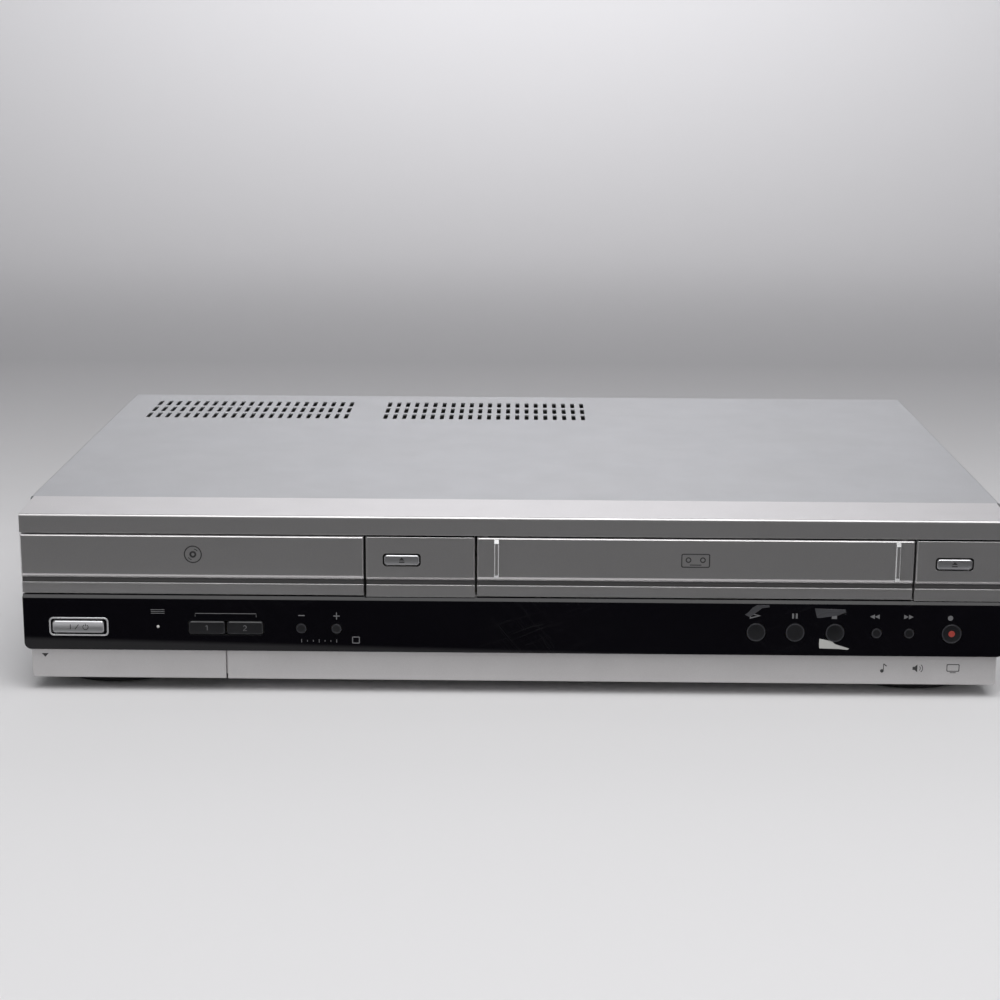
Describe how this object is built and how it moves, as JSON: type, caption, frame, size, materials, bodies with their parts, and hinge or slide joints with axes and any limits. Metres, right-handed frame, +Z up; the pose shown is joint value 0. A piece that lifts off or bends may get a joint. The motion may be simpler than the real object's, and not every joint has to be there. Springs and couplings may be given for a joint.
{
  "type": "disc player and cassette recorder",
  "caption": "Flat case with a sliding disc tray, a swinging cassette door, a black key window, a fold-down input flap, round feet and rear sockets.",
  "frame": {"origin": "centre of the whole box, on the surface that the pads stand on", "axes": "+X to the right seen from the front, +Y to the rear, +Z up"},
  "size_m": [0.43, 0.2938, 0.081],
  "materials": {
    "silver_cover": "light silver enamel, fine grain, slightly dusty",
    "silver_front": "light silver paint on moulded plastic, satin",
    "silver_key": "silver paint, bevelled and glossy",
    "black_window": "polished black",
    "black_key": "satin black",
    "bare_steel": "zinc plated sheet",
    "black_plastic": "moulded black",
    "white_plastic": "moulded natural white",
    "board": "resin board with components",
    "rubber_pad": "soft pad",
    "drum_metal": "fine turned",
    "bright_shaft": "ground and polished",
    "pinch_rubber": "matt",
    "tinned_can": "tinned sheet"
  },
  "bodies": {
    "case": {"top_cover": "silver_cover", "bottom_chassis": "bare_steel", "rear_panel": "bare_steel", "case_screws": "black_plastic", "front_fascia": "silver_front", "control_window": "black_window", "lower_trim": "silver_front", "door_spring": "bright_shaft", "front_feet": "black_plastic", "rear_feet": "black_plastic", "foot_pads": "rubber_pad", "loader_frame": "black_plastic", "tray_motor": "bare_steel", "traverse_deck": "black_plastic", "guide_rods": "bright_shaft", "spindle_motor": "bare_steel", "clamp_bridge": "bare_steel", "cassette_guides": "bare_steel", "tape_deck": "bare_steel", "lower_drum": "drum_metal", "front_board": "board", "power_board": "board", "main_board": "board", "av_sockets": "black_plastic", "tuner_block": "tinned_can", "mains_inlet": "black_plastic", "input_sockets": "black_plastic"},
    "tray": {"disc_tray": "black_plastic", "tray_front": "silver_front"},
    "tray_gear": {"tray_gear": "white_plastic"},
    "motor_pinion": {"motor_pinion": "white_plastic"},
    "turntable": {"turntable": "black_plastic"},
    "disc_clamp": {"disc_clamp": "white_plastic"},
    "sled": {"pickup_head": "black_plastic"},
    "sled_gear": {"sled_gear": "white_plastic"},
    "cassette_door": {"cassette_door": "silver_front"},
    "carriage": {"carriage_slider": "black_plastic"},
    "cassette_holder": {"cassette_holder": "bare_steel"},
    "upper_drum": {"upper_drum": "drum_metal"},
    "capstan": {"capstan": "bright_shaft"},
    "pinch_arm": {"pinch_arm": "bare_steel"},
    "pinch_roller": {"pinch_roller": "pinch_rubber"},
    "supply_reel": {"supply_reel": "white_plastic"},
    "takeup_reel": {"takeup_reel": "white_plastic"},
    "guide_post_left": {"guide_post_left": "white_plastic"},
    "guide_post_right": {"guide_post_right": "white_plastic"},
    "input_flap": {"input_flap": "silver_front"},
    "channel_down_key": {"channel_down_key": "black_key"},
    "channel_up_key": {"channel_up_key": "black_key"},
    "play_key": {"play_key": "black_key"},
    "pause_key": {"pause_key": "black_key"},
    "stop_key": {"stop_key": "black_key"},
    "rewind_key": {"rewind_key": "black_key"},
    "forward_key": {"forward_key": "black_key"},
    "record_key": {"record_key": "black_key"},
    "power_key": {"power_key": "silver_key"},
    "select_left_key": {"select_left_key": "black_key"},
    "select_right_key": {"select_right_key": "black_key"},
    "disc_eject_key": {"disc_eject_key": "silver_key"},
    "tape_eject_key": {"tape_eject_key": "silver_key"}
  },
  "joints": [
    {"name": "tray_slide", "type": "slide", "parent": "case", "child": "tray", "axis": [0, -1, 0], "range_m": [0, 0.135]},
    {"name": "tray_gear_turn", "type": "hinge", "parent": "case", "child": "tray_gear", "pos_m": [-0.18805, -0.1261, 0.048], "axis": [0, 0, 1], "range_deg": [0, 1150]},
    {"name": "motor_pinion_turn", "type": "hinge", "parent": "case", "child": "motor_pinion", "pos_m": [-0.17125, -0.1261, 0.048], "axis": [0, 0, 1], "range_deg": [-2900, 0]},
    {"name": "turntable_spin", "type": "hinge", "parent": "case", "child": "turntable", "pos_m": [-0.13905, -0.0707, 0.056], "axis": [0, 0, 1], "continuous": true},
    {"name": "disc_clamp_spin", "type": "hinge", "parent": "case", "child": "disc_clamp", "pos_m": [-0.13905, -0.0707, 0.066], "axis": [0, 0, 1], "continuous": true},
    {"name": "sled_slide", "type": "slide", "parent": "case", "child": "sled", "axis": [0, 1, 0], "range_m": [0, 0.034]},
    {"name": "sled_gear_turn", "type": "hinge", "parent": "case", "child": "sled_gear", "pos_m": [-0.10245, -0.0387, 0.045], "axis": [0, 0, 1], "range_deg": [-420, 0]},
    {"name": "cassette_door_swing", "type": "hinge", "parent": "case", "child": "cassette_door", "pos_m": [0, -0.1417, 0.0742], "axis": [1, 0, 0], "range_deg": [0, 88], "stiffness_Nm_per_rad": 0.01, "springref_deg": -34.38},
    {"name": "carriage_slide", "type": "slide", "parent": "case", "child": "carriage", "axis": [0, 1, 0], "range_m": [0, 0.062]},
    {"name": "holder_drop", "type": "slide", "parent": "carriage", "child": "cassette_holder", "axis": [0, 0, -1], "range_m": [0, 0.02]},
    {"name": "upper_drum_spin", "type": "hinge", "parent": "case", "child": "upper_drum", "pos_m": [0.07835, 0.0759, 0.02], "axis": [0.0872, 0, 0.9962], "continuous": true},
    {"name": "capstan_spin", "type": "hinge", "parent": "case", "child": "capstan", "pos_m": [0.14035, 0.0539, 0.015], "axis": [0, 0, 1], "continuous": true},
    {"name": "pinch_arm_swing", "type": "hinge", "parent": "case", "child": "pinch_arm", "pos_m": [0.16535, 0.0759, 0.022], "axis": [0, 0, 1], "range_deg": [0, 30]},
    {"name": "pinch_roller_spin", "type": "hinge", "parent": "pinch_arm", "child": "pinch_roller", "pos_m": [0.14179, 0.07132, 0.03], "axis": [0, 0, 1], "continuous": true},
    {"name": "supply_reel_spin", "type": "hinge", "parent": "case", "child": "supply_reel", "pos_m": [0.03235, -0.0121, 0.02], "axis": [0, 0, 1], "continuous": true},
    {"name": "takeup_reel_spin", "type": "hinge", "parent": "case", "child": "takeup_reel", "pos_m": [0.12435, -0.0121, 0.02], "axis": [0, 0, 1], "continuous": true},
    {"name": "guide_post_left_slide", "type": "slide", "parent": "case", "child": "guide_post_left", "axis": [0, 1, 0], "range_m": [0, 0.032]},
    {"name": "guide_post_right_slide", "type": "slide", "parent": "case", "child": "guide_post_right", "axis": [0, 1, 0], "range_m": [0, 0.032]},
    {"name": "input_flap_swing", "type": "hinge", "parent": "case", "child": "input_flap", "pos_m": [0, -0.1409, 0.0086], "axis": [1, 0, 0], "range_deg": [0, 90]},
    {"name": "channel_down_press", "type": "slide", "parent": "case", "child": "channel_down_key", "axis": [0, 1, 0], "range_m": [0, 0.001], "stiffness_N_per_m": 300},
    {"name": "channel_up_press", "type": "slide", "parent": "case", "child": "channel_up_key", "axis": [0, 1, 0], "range_m": [0, 0.001], "stiffness_N_per_m": 300},
    {"name": "play_press", "type": "slide", "parent": "case", "child": "play_key", "axis": [0, 1, 0], "range_m": [0, 0.001], "stiffness_N_per_m": 300},
    {"name": "pause_press", "type": "slide", "parent": "case", "child": "pause_key", "axis": [0, 1, 0], "range_m": [0, 0.001], "stiffness_N_per_m": 300},
    {"name": "stop_press", "type": "slide", "parent": "case", "child": "stop_key", "axis": [0, 1, 0], "range_m": [0, 0.001], "stiffness_N_per_m": 300},
    {"name": "rewind_press", "type": "slide", "parent": "case", "child": "rewind_key", "axis": [0, 1, 0], "range_m": [0, 0.001], "stiffness_N_per_m": 300},
    {"name": "forward_press", "type": "slide", "parent": "case", "child": "forward_key", "axis": [0, 1, 0], "range_m": [0, 0.001], "stiffness_N_per_m": 300},
    {"name": "record_press", "type": "slide", "parent": "case", "child": "record_key", "axis": [0, 1, 0], "range_m": [0, 0.001], "stiffness_N_per_m": 300},
    {"name": "power_press", "type": "slide", "parent": "case", "child": "power_key", "axis": [0, 1, 0], "range_m": [0, 0.001], "stiffness_N_per_m": 300},
    {"name": "select_left_press", "type": "slide", "parent": "case", "child": "select_left_key", "axis": [0, 1, 0], "range_m": [0, 0.001], "stiffness_N_per_m": 300},
    {"name": "select_right_press", "type": "slide", "parent": "case", "child": "select_right_key", "axis": [0, 1, 0], "range_m": [0, 0.001], "stiffness_N_per_m": 300},
    {"name": "disc_eject_press", "type": "slide", "parent": "case", "child": "disc_eject_key", "axis": [0, 1, 0], "range_m": [0, 0.001], "stiffness_N_per_m": 300},
    {"name": "tape_eject_press", "type": "slide", "parent": "case", "child": "tape_eject_key", "axis": [0, 1, 0], "range_m": [0, 0.001], "stiffness_N_per_m": 300}
  ],
  "couplings": [
    {"joint": "tray_gear_turn", "follows": "tray_slide", "rad_per_m": 125},
    {"joint": "motor_pinion_turn", "follows": "tray_slide", "rad_per_m": -312.5},
    {"joint": "sled_gear_turn", "follows": "sled_slide", "rad_per_m": -166.67},
    {"joint": "disc_clamp_spin", "follows": "turntable_spin", "ratio": 1},
    {"joint": "guide_post_right_slide", "follows": "guide_post_left_slide", "ratio": 1}
  ]
}
